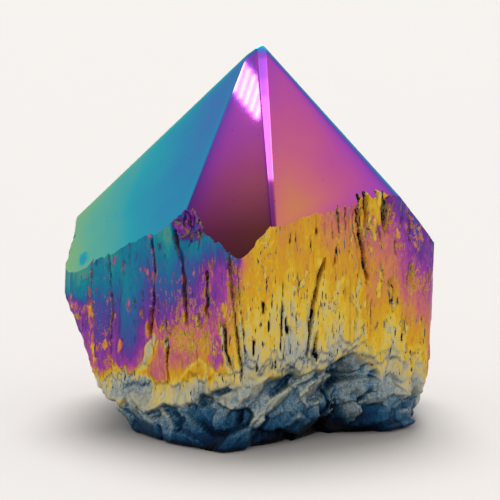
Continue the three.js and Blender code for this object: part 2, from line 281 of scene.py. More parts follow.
# Where the skin is pitted most: azimuth, height, wide, tall, and how much more than elsewhere.
PITTED = [
    (16, 22, 7, 8, 0.22), (38, 24, 9, 9, 0.17), (50, 35, 8, 5, 0.24), (58, 20, 6, 8, 0.16),
    (12, 14, 8, 3, 0.1), (63, 32, 5, 6, 0.2), (-27, 18, 8, 6, 0.1), (-12, 22, 3, 9, 0.14),
    (95, 20, 12, 9, 0.2), (150, 20, 20, 9, 0.2), (-150, 18, 18, 9, 0.2), (-100, 20, 14, 9, 0.14),
]

# Where the film has come off in small flecks: azimuth, height, wide, tall, amount.
FLECKED = [
    (-74, 19.5, 5, 2.5, 0.7), (-38, 28, 3, 5, 0.35), (-31, 21, 4, 5, 0.4), (-20, 21, 5, 7, 0.75),
    (-28, 17, 6, 3, 0.8), (-57, 9.5, 4, 2, 0.9), (-43, 10, 5, 2, 0.5), (-5, 22, 1.8, 12, 1),
    (-12, 11, 4, 3, 0.6), (58, 20, 8, 12, 0.4), (50, 36, 8, 4, 0.3), (30, 34, 9, 3, 0.5),
    (18, 20, 8, 8, 0.35), (64, 30, 3, 6, 0.3), (66, 25, 2.5, 1.5, 0.9), (95, 20, 14, 12, 0.5),
    (150, 22, 22, 10, 0.45), (-150, 20, 22, 10, 0.5), (-105, 20, 16, 12, 0.5),
]

# Films that drift off the side's own: azimuth, height, wide, tall, change.
DRIFTS = [
    (14, 20, 6, 6, -0.05), (27, 28, 5, 8, -0.04), (40, 22, 4, 6, 0.01), (66, 31, 2.5, 8, 0.12),
    (-72, 26, 5, 4.5, 0.12), (-74, 20.5, 3.5, 1.1, -0.3), (-63, 20, 1.2, 4, -0.08),
    (-5, 22, 1.3, 12, -0.12), (-14, 29, 2.6, 3, -0.14), (-50, 26, 4, 4, 0.04), (-46, 17, 4, 4, 0.05),
    (-16, 19, 4, 2, 0.05), (-25, 14, 6, 2.6, 0.17), (12, 15, 9, 3.4, -0.05), (60, 16, 4, 4, -0.03),
    (62, 27, 3, 3, 0.05), (-47, 7.2, 21, 2.4, -0.2),
]

# The grid of the raw crystal: columns in degrees, finer in front, and rows in millimetres. The
# polished faces cut away the blank above them, and their ridges are eased.
FRONT_HALF, FRONT_STEP, BACK_STEP = 84, 0.35, 0.75
FIRST_ROW, ROW_STEP, SKIN_TOP, BLANK_TOP = 0.6, 0.29, 43, 66
FOOT_ROUNDING = np.array([(0.95, -0.6), (0.975, 0), (0.99, 0.3)])  # share of the radius, height
RIDGE_EASING = 0.15


def smoothstep(x, low, high):
    t = np.clip((x - low) / (high - low), 0, 1)
    return t * t * (3 - 2 * t)


def lerp(a, b, t):
    return a + (b - a) * t


def between(points, x):
    """The value at x of a list of (x, value), level past its ends."""
    places, values = zip(*points)
    return np.interp(x, places, values)


def turn_from(b, a):
    """How far azimuth a lies past azimuth b, from -180 to 180 degrees."""
    return (a - b + 180) % 360 - 180


def moved(at, **changes):
    """The same places with some of their coordinates changed."""
    return SimpleNamespace(**{**vars(at), **changes})


def lattice_value(i, j, k):
    """A number from 0 to 1 for each point of a lattice, without any pattern to the eye."""
    s = np.sin(i * 127.1 + j * 311.7 + k * 74.7) * 43758.5453
    return s - np.floor(s)


def in_lattice(at, across, up, shift):
    """The places on a lattice with cells this wide and tall, shifted by some cells."""
    return at.x / across + shift[0], at.y / across + shift[1], at.z / up + shift[2]


def noise(at, across, up, shift=(0, 0, 0)):
    """Smooth noise from -1 to 1, with swells this wide and tall."""
    x, y, z = in_lattice(at, across, up, shift)
    i, j, k = np.floor(x), np.floor(y), np.floor(z)
    u, v, w = (t * t * t * (t * (t * 6 - 15) + 10) for t in (x - i, y - j, z - k))
    total = 0
    for corner in range(8):
        dx, dy, dz = corner & 1, corner >> 1 & 1, corner >> 2
        weight = (u if dx else 1 - u) * (v if dy else 1 - v) * (w if dz else 1 - w)
        total = total + weight * lattice_value(i + dx, j + dy, k + dz)
    return 2 * total - 1


def facets(at, across, up, sharpness, shift=(0, 0, 0)):
    """Nearly flat faces, each tilted its own way, one round each point strewn in the lattice cells.

    Gives the height of the face, about -1 to 1, and how near the place is to a ridge, 0 to 1.
    """
    x, y, z = in_lattice(at, across, up, shift)
    total, height, most = 0, 0, 0
    for step in np.ndindex(3, 3, 3):
        i, j, k = (np.floor(p) + s - 1 for p, s in zip((x, y, z), step))
        dx = x - i - lattice_value(i + 3, j, k)
        dy = y - j - lattice_value(i, j + 19, k)
        dz = z - k - lattice_value(i, j, k + 31)
        weight = np.exp(-sharpness * (dx * dx + dy * dy + dz * dz))
        tilts = [lattice_value(i + by, j - by, k + 5) - 0.5 for by in (0, 7, 13)]
        total = total + weight
        height = height + weight * 2 * (dx * tilts[0] + dy * tilts[1] + dz * tilts[2] + tilts[0])
        most = np.maximum(most, weight)
    return height / total, 2 * (1 - most / total)


def side_weights(azimuth, height, sharpness):
    """Each side's pull on the skin at these places, largest where the skin lies on that side."""
    weights = {}
    for name, side in SIDES.items():
        facing = np.cos(np.radians(azimuth - side["azimuth"]))
        reach = between(side["reach"], height) / np.maximum(facing, LEAST_FACING)
        weights[name] = np.where(facing > LEAST_FACING, np.exp(-sharpness * reach), 0)
    return weights


def arc(at, azimuth):
    """How far the places lie to the right of an azimuth, along the skin."""
    return np.radians(turn_from(azimuth, at.azimuth)) * at.radius


def groove(at, route, width, shift=0):
    """How far into a V along the route these places lie: 1 at its bottom, 0 outside it."""
    top, foot = route[0][1], route[-1][1]
    upwards = [(height, azimuth) for azimuth, height in reversed(route)]
    aside = np.abs(arc(at, between(upwards, at.height)) - shift)
    ends = smoothstep(at.height, foot, foot + GROOVE_END)
    ends = ends * (1 - smoothstep(at.height, top - GROOVE_START, top))
    return ends * np.maximum(0, 1 - aside / (width / 2))


def spot(at, azimuth, height, wide, tall):
    """A soft round spot, 1 in its middle."""
    return np.exp(-(arc(at, azimuth) / wide) ** 2 - ((at.height - height) / tall) ** 2)


def spots(at, table):
    """Such spots from rows of (azimuth, height, wide, tall, amount)."""
    return [amount * spot(at, *place) for *place, amount in table]


def in_layers(at, rise):
    """The same places, with layers that rise away from the hinge laid level."""
    return moved(at, z=at.z - rise * np.abs(at.x - FRACTURE_HINGE))


def fracture(at):
    """How far the broken foot stands out, with the nearness to a ridge between its faces."""
    faces, ridge = facets(in_layers(at, FRACTURE_RISE), *FRACTURES)
    return FRACTURE_DEEP * faces + LUMP_DEEP * noise(at, *LUMPS), ridge


def grain(at, across, up, shift=0):
    """Noise from -1 to 1 whose swells are this wide and tall and end in slopes up to the right."""
    sloped = moved(at, z=at.z - GRAIN_RISE * at.x * up / GRAIN_TALL)
    return noise(sloped, across, up, (shift, -shift, shift))


def ragged(at, amount):
    """The same places, moved aside a little so that lines through them become ragged."""
    wander = noise(at, 2.2, 1.5) + 0.6 * noise(at, 0.9, 0.6, (9, 0, 0))
    return moved(at, azimuth=at.azimuth + amount * wander)


def splits_at(at):
    """The depth of the splits, how far they gape, and how near them the skin beside them lies."""
    wandering = ragged(at, SPLIT_WANDER)
    depth, gape, near = 0, 0, 0
    for route, width, deep in SPLITS:
        wide = width * (1.1 + 0.6 * noise(at, 3, 1.4))
        depth = np.maximum(depth, deep * np.minimum(1, 2 * groove(wandering, route, wide)))
        gape = np.maximum(gape, (0.7 + 0.3 * deep) * groove(wandering, route, wide + 0.15))
        near = np.maximum(near, groove(at, route, width + SPLIT_BESIDE))
    return depth, gape, near


def split_lip(at):
    """Where a thin pale lip runs along the left of a split, low down on the skin."""
    wandering = ragged(at, SPLIT_WANDER)
    near = 0
    for route, width, _ in SPLITS:
        near = np.maximum(near, groove(wandering, route, LIP_WIDE, -0.5 * width - LIP_ASIDE))
    low = 1 - smoothstep(at.height, 19, 25)
    return low * smoothstep(near, 0.1, 0.4) * smoothstep(grain(at, 1.5, 5, 40), -0.05, 0.15)


def pit_depth(at, crowd):
    """Short upright pits, strewn by noise and crowded where the skin is pitted most."""
    field = grain(at, 0.38, 3.4, 3) + 0.5 * grain(at, 0.3, 1.2, 17)
    rare = PIT_RARITY - crowd
    return PIT_DEEP * smoothstep(field, rare, rare + 0.2)


def terraces(at):
    """The level, in whole steps, of the thin sheets that the skin is built of, and their edges."""
    field = 1.5 * grain(at, 2.8, 13, 5) + 0.8 * grain(at, 1.2, 5.5, 8) + 0.35 * grain(at, 0.5, 2, 2)
    level = 1.7 * field
    part = level - np.floor(level)
    return np.floor(level) + smoothstep(part, 0, 0.14), np.exp(-((part - 0.07) / 0.09) ** 2)


def strip_layers(at, ledge):
    """Where the outer and the second layer have flaked off, the step of the film, and the rims."""
    tops, feet, first, step, second = (np.array(column) for column in zip(*STRIPS))
    wandering = ragged(at, STRIP_WANDER)
    down = np.clip((STRIP_TOP - at.height) / (STRIP_TOP - STRIP_FOOT), 0, 1.2)
    index = np.zeros(at.azimuth.shape, dtype=int)
    for number in range(1, len(STRIPS) - 1):
        edge = lerp(tops[number], feet[number], down)
        index = np.where(wandering.azimuth > edge, number, index)
    left = lerp(tops[index], feet[index], down)
    right = lerp(tops[index + 1], feet[index + 1], down)
    across = (wandering.azimuth - (left + right) / 2) / ((right - left) / 2)
    jagged = 0.7 * noise(at, 0.9, 2) + 0.9 * grain(at, 0.5, 6, 12)
    sag = across * across - LOBE_MIDDLE
    first_end = first[index] + LOBE_SAG * sag + jagged
    second_end = np.maximum(second[index] + SECOND_SAG * sag + 0.8 * jagged, ledge + 0.4)
    gone, rim = [], 0
    for end in (first_end, second_end):
        gone.append(1 - smoothstep(at.height, end - LAYER_EDGE, end + LAYER_EDGE))
        rim = rim + np.exp(-((at.height - end) / LAYER_RIM) ** 2)
    return gone, step[index], rim


def plate_distance(at, outline):
    """How far inside the outline the places lie, in millimetres along the skin; below 0 outside."""
    wandering = ragged(at, PLATE_WANDER)
    corners = [(np.radians(azimuth) * MEAN_RADIUS, height) for azimuth, height in outline]
    x = np.radians(wandering.azimuth) * MEAN_RADIUS
    y = at.height + 0.2 * noise(at, 1, 1, (0, 0, 50))
    nearest = np.full(x.shape, 99.0)
    inside = np.zeros(x.shape, dtype=bool)
    for (x0, y0), (x1, y1) in zip(corners, corners[1:] + corners[:1]):
        along = (x - x0) * (x1 - x0) + (y - y0) * (y1 - y0)
        along = np.clip(along / ((x1 - x0) ** 2 + (y1 - y0) ** 2), 0, 1)
        nearest = np.minimum(nearest, np.hypot(x - lerp(x0, x1, along), y - lerp(y0, y1, along)))
        if y0 != y1:
            crossing = ((y0 > y) != (y1 > y)) & (x < (x1 - x0) * (y - y0) / (y1 - y0) + x0)
            inside ^= crossing
    return np.where(inside, nearest, -nearest)


def side_film(at, weights):
    """The coat's film by the sides alone."""
    film = 0
    rise = np.clip((at.height - FOOT) / (SHOULDER - FOOT), 0, 1.3)
    for name, side in SIDES.items():
        across = np.clip(turn_from(side["azimuth"], at.azimuth) / side["spread"] / 2 + 0.5, 0, 1)
        across_bend, rise_bend = side["bend"]
        top, foot = side["film"]
        right = across ** across_bend
        here = lerp(lerp(*foot, right), lerp(*top, right), rise ** rise_bend)
        film = film + here * weights[name] / sum(weights.values())
    for change in spots(at, DRIFTS):
        film = film + change
    return film


def blurred(field, rows, columns):
    """The field averaged over a window of the grid, which closes on itself round the crystal."""
    around = np.concatenate([field[:, -columns:], field, field[:, :columns]], axis=1)
    sums = np.cumsum(around, axis=1)
    wide = (sums[:, 2 * columns:] - sums[:, :-2 * columns])[:, :field.shape[1]] / (2 * columns)
    padded = np.pad(wide, ((rows, rows), (0, 0)), mode="edge")
    sums = np.cumsum(padded, axis=0)
    return (sums[2 * rows:] - sums[:-2 * rows])[:field.shape[0]] / (2 * rows)


def raw_skin(azimuth, height):
    """The raw crystal on a grid of places: radius, film, painted shade, and how pitted and flecked it is.
    """
    off_front = turn_from(FRONT_CORNER, azimuth) / FRONT_WIDE
    sharpness = CORNER_SHARPNESS + FRONT_SHARPER * np.exp(-off_front ** 2)
    weights = side_weights(azimuth, height, sharpness)
    plain = -np.log(sum(weights.values())) / sharpness
    turn = np.radians(azimuth)
    at = SimpleNamespace(
        azimuth=azimuth, height=height, radius=plain,
        x=plain * np.sin(turn), y=-plain * np.cos(turn), z=height,
    )
    ledge = between(LEDGE, azimuth) + 0.8 * noise(moved(at, z=0 * at.z), 1.7, 1, (0, 0, 3))
    broken = 1 - smoothstep(height, ledge - LEDGE_DROP, ledge)

    # Relief of the skin.
    hollows = sum(spots(at, HOLLOWS))
    flutes = FLUTE_DEEP * noise(at, *FLUTES)
    furrows = np.maximum.reduce([deep * groove(at, route, width) for route, width, deep in FURROWS])
    splits, gape, beside_split = splits_at(at)
    crowd = np.maximum.reduce(spots(at, PITTED))
    pits = pit_depth(at, crowd)
    level, edge = terraces(at)
    (first_gone, second_gone), step, rim = strip_layers(at, ledge)
    near = sum(spot(at, *place) for *place, _ in CRUMBLES)
    crumbled = smoothstep(near, 0.3, 0.6)
    crumb_film = sum(spots(at, CRUMBLES)) / (near + 1e-6)
    crumbs, _ = facets(at, *CRUMBS)
    fine = 0.06 * grain(at, 0.4, 3.0, 21) + 0.04 * grain(at, 0.3, 1, 22)
    skin = flutes - FURROW_SHARE * furrows - np.maximum(splits, pits)
    skin = skin + TERRACE_DEEP * np.clip(level, *TERRACES) + fine
    skin = skin - LAYER_DEEP * first_gone - SECOND_DEEP * second_gone
    skin = skin + crumbled * (CRUMB_DEEP * crumbs - CRUMB_SINK)

    # Relief of the broken foot: large faces, chips on them, and crisp clefts between them.
    faces, face_ridge = fracture(at)
    layers = in_layers(at, CHIP_RISE)
    chips, chip_ridge = facets(layers, *CHIPS)
    small, _ = facets(layers, *SMALL_CHIPS)
    parted = smoothstep(noise(at, 4, 3, (0, 8, 0)), -0.15, 0.25)
    clefts = parted * (smoothstep(face_ridge, 0.8, 0.99) + 0.5 * smoothstep(chip_ridge, 0.8, 0.99))
    cave = np.minimum(1, 1.4 * spot(at, *CAVE))
    rubble, rubble_ridge = facets(moved(at, z=at.z - RUBBLE_LEAN * at.x), *RUBBLE)
    rubble_clefts = smoothstep(rubble_ridge, 0.8, 1)
    off_floor = smoothstep(height, -0.5, 5)
    foot = faces - LEDGE_DEPTH - FOOT_SINK + off_floor * (CHIP_DEEP * chips + SMALL_CHIP_DEEP * small)
    foot = foot - CLEFT_DEEP * clefts
    foot = foot + cave * off_floor * (RUBBLE_DEEP * rubble - RUBBLE_SINK - RUBBLE_CLEFT * rubble_clefts)
    foot = foot + 0.05 * noise(at, 0.6, 0.5)
    radius = plain - hollows - SKIN_INSET + lerp(skin, foot, broken)

    # The coat on the skin.
    proud = radius - blurred(radius, 4, 7)
    far_proud = radius - blurred(radius, 12, 22)
    film = side_film(at, weights)
    film = film + 0.03 * noise(at, 3, 9, (0, 0, 2)) + 0.02 * noise(at, 0.8, 2)
    film = film + 0.03 * level - 0.05 * edge
    film = film - step * first_gone * smoothstep(film, 0.0, 0.3) - RIM_LOSS * rim
    film = lerp(film, np.minimum(film, WORN_FILM), second_gone)
    for inner, border, outline in PLATES:
        inwards = plate_distance(at, outline)
        own = lerp(border, inner, smoothstep(inwards, 0.1, 0.9)) + 0.03 * level
        film = lerp(film, own, smoothstep(inwards, -0.08, 0.08))
    film = lerp(film, film - LIP_LOSS, split_lip(at) * smoothstep(film, 0.05, 0.3))
    film = lerp(film, crumb_film + 0.15 * crumbs, crumbled)
    above_ledge = smoothstep(height, ledge + 0.1, ledge + 2.6 + 0.1 * np.clip(-at.x, 0, 15))
    film = lerp(np.minimum(film, LEDGE_FILM + 0.03 * level), film, above_ledge)

    # The coat on the foot, thin and dark, with a painted highlight where it stands out and painted shade
    # in clefts and low down towards the floor. The height that counts is a little less right of the
    # middle, and more towards both ends.
    low = height - 0.1 * np.clip(at.x + 2, 0, 14) + 0.35 * np.clip(at.x - 16, 0, 9)
    low = low + 0.15 * np.clip(-8 - at.x, 0, 12)
    # Painted highlight where the foot stands out, painted shade in its clefts and low down.
    foot_film_and_light = between(FOOT_FILM_AND_SHADE, low) + 0.07 * chips + 0.03 * np.clip(far_proud, -2, 1)
    foot_film_and_light = foot_film_and_light + 0.05 * np.clip(proud, -0.6, 0.3) - 0.12 * clefts
    foot_film_and_light = foot_film_and_light + cave * (0.12 * rubble - 0.1 * rubble_clefts + 0.02)
    film = lerp(film, np.minimum(foot_film_and_light, 0.01 - 0.06 * cave), broken)
    # Painted shade low on the foot, in the cleft and at the cave's foot.
    shade = np.maximum.reduce([1 - smoothstep(low, *FLOOR_SHADE)] + spots(at, SHADES))
    gaps = crumbled * (1 - smoothstep(crumbs, -0.6, -0.1))
    # Painted shade: in splits, pits and the gaps between crumbs on the skin, and on the foot near the
    # floor, in the cleft and at the cave's foot.
    hollow_shade = lerp(np.maximum(np.maximum(gape, 1.3 * pits), gaps), 0.8 * shade, broken)
    pitted = np.clip(0.3 + 2.2 * crowd, 0, 1) * (1 - broken)
    flecks = sum(spots(at, FLECKED)) + 0.75 * beside_split * smoothstep(film, 0.2, 0.45)
    flecks = flecks + 0.5 * np.minimum(rim, 1)
    flecked = np.clip(flecks, 0, 1) * (1 - broken)
    flecked = lerp(flecked, 0.3, crumbled)
    return radius, film, hollow_shade, pitted, flecked


# ---- Meshes ----


def normal_of(face):
    turn, rise = math.radians(face["azimuth"]), math.radians(face["slope"])
    return Vector((math.cos(rise) * math.sin(turn), -math.cos(rise) * math.cos(turn), math.sin(rise)))


def object_of(name, bm, materials):
    mesh = bpy.data.meshes.new(name)
    bm.to_mesh(mesh)
    bm.free()
    for material in materials:
        mesh.materials.append(material)
    piece = bpy.data.objects.new(name, mesh)
    bpy.context.scene.collection.objects.link(piece)
    return piece


def raw_crystal(materials):
    """A grid wrapped into a tube, drawn out to the raw radius and closed, with its coat and painted shade
    in UV maps.
    """
    rows = np.arange(FIRST_ROW, SKIN_TOP, ROW_STEP)
    rows = np.concatenate([FOOT_ROUNDING[:, 1], rows, [BLANK_TOP]])
    share = np.ones_like(rows)
    share[:len(FOOT_ROUNDING)] = FOOT_ROUNDING[:, 0]
    front = np.arange(-FRONT_HALF, FRONT_HALF, FRONT_STEP)
    columns = turn_from(0, np.concatenate([front, np.arange(FRONT_HALF, 360 - FRONT_HALF, BACK_STEP)]))
    azimuth, height = np.meshgrid(columns, rows)
    radius, film, hollow_shade, pitted, flecked = raw_skin(azimuth, height)

    bm = bmesh.new()
    bm.loops.layers.uv.new("coat")
    bm.loops.layers.uv.new("wear")
    bmesh.ops.create_grid(bm, x_segments=len(columns), y_segments=len(rows) - 1, size=0.5)
    crystal = object_of("coated_crystal", bm, materials)
    mesh = crystal.data
    place = np.empty(len(mesh.vertices) * 3)
    mesh.vertices.foreach_get("co", place)
    place = place.reshape(-1, 3)
    column = np.round((place[:, 0] + 0.5) * len(columns)).astype(int) % len(columns)
    row = np.round((place[:, 1] + 0.5) * (len(rows) - 1)).astype(int)
    turn = np.radians(columns[column])
    out = radius[row, column] * share[row]
    place = np.stack([out * np.sin(turn), -out * np.cos(turn), rows[row]], axis=1)
    mesh.vertices.foreach_set("co", place.ravel())
    corner = np.empty(len(mesh.loops), dtype=int)
    mesh.loops.foreach_get("vertex_index", corner)
    # The coat map holds the film and the painted shade, the wear map how pitted and flecked the skin is.
    for name, first, second in (("coat", film, hollow_shade), ("wear", pitted, flecked)):
        uv = np.stack([first[row, column], second[row, column]], axis=1)[corner]
        mesh.uv_layers[name].uv.foreach_set("vector", uv.ravel())

    bm = bmesh.new()
    bm.from_mesh(mesh)
    seam = [v for v in bm.verts if v.is_boundary]
    bmesh.ops.remove_doubles(bm, verts=seam, dist=1e-4)
    bmesh.ops.holes_fill(bm, edges=[e for e in bm.edges if e.is_boundary])
    bmesh.ops.recalc_face_normals(bm, faces=bm.faces)
    bm.to_mesh(mesh)
    bm.free()
    return crystal


def crown(materials):
    """The block that the polished faces and the foot's flat enclose, its upper edges eased."""
    bm = bmesh.new()
    reach = 80
    bmesh.ops.create_cube(bm, size=2 * reach, matrix=Matrix.Translation((0, 0, reach)))
    for polished in POLISHED.values():
        normal = normal_of(polished)
        through = Vector(TIP) - normal * polished["drop"]
        whole = list(bm.verts) + list(bm.edges) + list(bm.faces)
        cut = bmesh.ops.bisect_plane(bm, geom=whole, plane_co=through, plane_no=normal, clear_outer=True)
        rim = [e for e in cut["geom_cut"] if isinstance(e, bmesh.types.BMEdge)]
        for face in bmesh.ops.edgeloop_fill(bm, edges=rim)["faces"]:
            face.material_index = 1
    bmesh.ops.recalc_face_normals(bm, faces=bm.faces)
    ridges = [e for e in bm.edges if all(f.material_index == 1 for f in e.link_faces)]
    bmesh.ops.bevel(
        bm, geom=ridges, offset=RIDGE_EASING, segments=2, profile=0.5, affect="EDGES", material=-1,
        clamp_overlap=True,
    )
    block = object_of("crown", bm, materials)
    block.data.uv_layers.new(name="coat")
    block.data.uv_layers.new(name="wear")
    return block


def finished_crystal():
    materials = [raw_skin_material(), polished_material()]
    crystal = raw_crystal(materials)
    block = crown(materials)
    boolean = crystal.modifiers.new("ground", "BOOLEAN")
    boolean.operation = "INTERSECT"
    boolean.solver = "MANIFOLD"
    boolean.object = block
    boolean.material_mode = "INDEX"
    graph = bpy.context.evaluated_depsgraph_get()
    mesh = bpy.data.meshes.new_from_object(crystal.evaluated_get(graph))
    crystal.modifiers.clear()
    crystal.data = mesh
    bpy.data.objects.remove(block)
    index = np.empty(len(mesh.polygons), dtype=int)
    mesh.polygons.foreach_get("material_index", index)
    mesh.polygons.foreach_set("use_smooth", index == 0)
    mesh.transform(Matrix.Scale(MM, 4))
    mesh.update()
    return crystal


# ---- Materials ----

THICK_TINT = "#e0e0e0"  # the raw skin gives back less light where its film is thick
RIM_WIDTH = 0.3  # of the thicker film along a polished face's edges
FADE_WIDTH, FADE_RISE = 1.6, 0.12  # of the fainter rise of the film further in
TIP_WIDTH, TIP_RISE = 0.9, 0.95  # of the thicker film round the tip
BLOTCH, BLOTCH_SIZE, BLOTCH_FILM = (-27.4, -9.3, 28.3), (0.5, 1.5), 0.79  # on the front left face
BLOTCH_FRAY = 3.0  # how far its edge is frayed
# The near black of the painted shade in splits, pits, chips and low on the foot, and the colour of dust
# specks on the polished faces.
HOLLOW_SHADE_COLOUR, SPECK_COLOUR = "#060a10", "#1a1020"

# The colours of the coat by its film, as a thin metal film shows them.
COAT = [
    (-0.40, "#050a14"), (-0.30, "#08213d"), (-0.22, "#0f3a5b"), (-0.14, "#2d5876"), (-0.08, "#5a7789"),
    (-0.03, "#8b999b"), (0.02, "#b1b1a0"), (0.06, "#c2b788"), (0.11, "#dcbd42"), (0.17, "#d4a424"),
    (0.24, "#cf9232"), (0.30, "#cb7d5c"), (0.36, "#c7687b"), (0.43, "#bb5594"), (0.50, "#a547ae"),
    (0.57, "#7c42ac"), (0.64, "#5258ae"), (0.70, "#3a6cb0"), (0.76, "#2384b0"), (0.84, "#1b9cae"),
    (0.92, "#5aab96"), (1.00, "#8fb463"), (1.05, "#b9b84a"),
]


def linear(colour):
    """An sRGB hex colour as linear numbers, with full alpha."""
    parts = [int(colour[n:n + 2], 16) / 255 for n in (1, 3, 5)]
    return tuple(p / 12.92 if p <= 0.04045 else ((p + 0.055) / 1.055) ** 2.4 for p in parts) + (1.0,)


def add(tree, kind, inputs=None, **settings):
    """Adds a node with its settings, and with values, sockets or nodes for its inputs.

    A node stands for the first of its outputs that is in use.
    """
    made = tree.nodes.new("ShaderNode" + kind)
    for name, value in settings.items():
        setattr(made, name, value)
    for key, value in (inputs or {}).items():
        if isinstance(value, bpy.types.Node):
            value = next(socket for socket in value.outputs if socket.enabled)
        if isinstance(value, bpy.types.NodeSocket):
            tree.links.new(value, made.inputs[key])
        else:
            made.inputs[key].default_value = value
    return made


def new_material(name):
    material = bpy.data.materials.new(name)
    material.use_nodes = True
    material.node_tree.nodes.clear()
    return material, material.node_tree


def ramp_over(tree, value, stops):
    """The colour that a list of (value, colour) gives at a value, blended between its stops."""
    low, high = stops[0][0], stops[-1][0]
    place = add(tree, "MapRange", {"Value": value, "From Min": low, "From Max": high})
    ramp = add(tree, "ValToRGB", {"Fac": place})
    elements = ramp.color_ramp.elements
    while len(elements) < len(stops):
        elements.new(0.5)
    for element, (level, _) in zip(elements, stops):
        element.position = (level - low) / (high - low)
    for element, (_, colour) in zip(elements, stops):
        element.color = linear(colour)
    return ramp


def raw_skin_material():
    """Titanium film on raw quartz skin: a satin metal sheen in fine grains, with painted shade that turns
    splits, pits, chipped flecks and the foot near the floor near black.

    The grains run up the crystal. The strokes are pits 0.2 mm wide and 1.5 mm tall, close together
    where the skin is worn.
    """
    material, tree = new_material("titanium film on raw quartz")
    coat = add(tree, "SeparateXYZ", {"Vector": add(tree, "UVMap", uv_map="coat")})
    film, hollow_shade = coat.outputs["X"], coat.outputs["Y"]
    wear = add(tree, "SeparateXYZ", {"Vector": add(tree, "UVMap", uv_map="wear")})
    place = add(tree, "TexCoord").outputs["Object"]
    rock = add(tree, "VectorMath", {0: place, "Scale": 1 / MM}, operation="SCALE")
    grains = add(tree, "Mapping", {"Vector": place, "Scale": (1 / MM, 1 / MM, 0.4 / MM)})
    upright = add(
        tree, "Mapping",
        {"Vector": place, "Rotation": (0, math.radians(-4), 0), "Scale": (2.8 / MM, 2.8 / MM, 0.4 / MM)},
    )

    # Each pattern's grid, scale, detail and roughness.
    patterns = [
        (upright, 1.0, 2.5, 0.6), (rock, 2.0, 3.0, 0.7), (grains, 0.6, 6.0, 0.64),
        (grains, 2.1, 4.0, 0.75), (grains, 2.2, 4.0, 0.65), (rock, 3.2, 4.0, 0.8),
        (grains, 3.5, 5.0, 0.7),
    ]
    strokes, gnaw, flakes, scatter, mottle, specks, fine = (
        add(tree, "TexNoise", {"Vector": grid, "Scale": scale, "Detail": detail, "Roughness": rough})
        for grid, scale, detail, rough in patterns
    )

    rarity = add(tree, "MapRange", {"Value": wear.outputs["X"], "To Min": 0.69, "To Max": 0.59})
    over = add(tree, "Math", {0: strokes, 1: rarity}, operation="SUBTRACT")
    pitted = add(
        tree, "MapRange", {"Value": over, "From Max": 0.018}, interpolation_type="SMOOTHSTEP"
    )

    open_by = add(tree, "Math", {0: gnaw, 1: 0.9, 2: hollow_shade}, operation="MULTIPLY_ADD")
    split = add(tree, "MapRange", {"Value": open_by, "From Min": 0.94, "From Max": 1.02})

    rarity = add(tree, "MapRange", {"Value": wear.outputs["X"], "To Min": 0.70, "To Max": 0.53})
    over = add(tree, "Math", {0: flakes, 1: rarity}, operation="SUBTRACT")
    kept = add(tree, "MapRange", {"Value": over, "From Max": 0.008, "To Min": 1.0, "To Max": 0.5})
    brink = add(tree, "Math", {0: over, 1: -0.006, 2: 0.007}, operation="COMPARE")
    broken = add(tree, "MapRange", {"Value": strokes, "From Min": 0.49, "From Max": 0.53})
    brink = add(tree, "Math", {0: brink, 1: broken}, operation="MULTIPLY")
    pitted = add(tree, "Math", {0: pitted, 1: brink}, operation="MAXIMUM")

    rarity = add(tree, "MapRange", {"Value": wear.outputs["Y"], "To Min": 0.74, "To Max": 0.50})
    over = add(tree, "Math", {0: scatter, 1: rarity}, operation="SUBTRACT")
    left = add(tree, "MapRange", {"Value": over, "From Max": 0.02, "To Min": 1.0, "To Max": 0.45})
    left = add(tree, "Math", {0: left, 1: kept}, operation="MULTIPLY")
    chipped = add(tree, "MapRange", {"Value": over, "From Min": 0.02, "From Max": 0.08, "To Max": 0.5})

    shift = add(
        tree, "MapRange",
        {"Value": mottle, "From Min": 0.3, "From Max": 0.7, "To Min": -0.03, "To Max": 0.03},
    )
    spread = add(
        tree, "MapRange",
        {"Value": film, "From Min": 0.1, "From Max": -0.05, "To Min": 0.06, "To Max": 0.34},
    )
    speck = add(tree, "Math", {0: specks, 1: 0.5}, operation="SUBTRACT")
    shift = add(tree, "Math", {0: speck, 1: spread, 2: shift}, operation="MULTIPLY_ADD")
    thin = add(tree, "Math", {0: film, 1: 0.0}, operation="MAXIMUM")
    starved = add(tree, "Math", {0: film, 1: 0.0}, operation="MINIMUM")
    film = add(tree, "Math", {0: thin, 1: left, 2: shift}, operation="MULTIPLY_ADD")
    film = add(tree, "Math", {0: film, 1: starved}, operation="ADD")
    film = add(tree, "Math", {0: pitted, 1: -0.34, 2: film}, operation="MULTIPLY_ADD")
    film = add(tree, "Math", {0: split, 1: -0.42, 2: film}, operation="MULTIPLY_ADD")
    colour = ramp_over(tree, film, COAT)
    thick = add(tree, "MapRange", {"Value": film, "From Min": 0.28, "From Max": 0.55})
    dull = add(
        tree, "Mix", {"Factor": thick, 6: colour, 7: linear(THICK_TINT)}, data_type="RGBA",
        blend_type="MULTIPLY",
    )
    # Painted shade: splits, pits, chipped flecks and the foot near the floor are mixed towards near
    # black.
    sunken = add(tree, "Math", {0: split, 1: 0.62}, operation="MULTIPLY")
    deep = add(tree, "Math", {0: pitted, 1: 0.45, 2: sunken}, operation="MULTIPLY_ADD")
    deep = add(tree, "Math", {0: deep, 1: chipped}, operation="MAXIMUM", use_clamp=True)
    dark = add(tree, "Mix", {"Factor": deep, 6: dull, 7: linear(HOLLOW_SHADE_COLOUR)}, data_type="RGBA")

    relief = add(tree, "Math", {0: pitted, 1: -1.2, 2: fine}, operation="MULTIPLY_ADD")
    coarse = add(tree, "Math", {0: spread, 1: 5.0}, operation="MULTIPLY")
    relief = add(tree, "Math", {0: speck, 1: coarse, 2: relief}, operation="MULTIPLY_ADD")
    bump = add(tree, "Bump", {"Height": relief, "Strength": 0.4, "Distance": 0.14 * MM})
    roughness = add(
        tree, "MapRange",
        {"Value": mottle, "From Min": 0.3, "From Max": 0.7, "To Min": 0.28, "To Max": 0.45},
    )
    shader = add(
        tree, "BsdfPrincipled",
        {"Base Color": dark, "Metallic": 0.9, "Roughness": roughness, "Normal": bump},
    )
    add(tree, "OutputMaterial", {"Surface": shader})
    return material


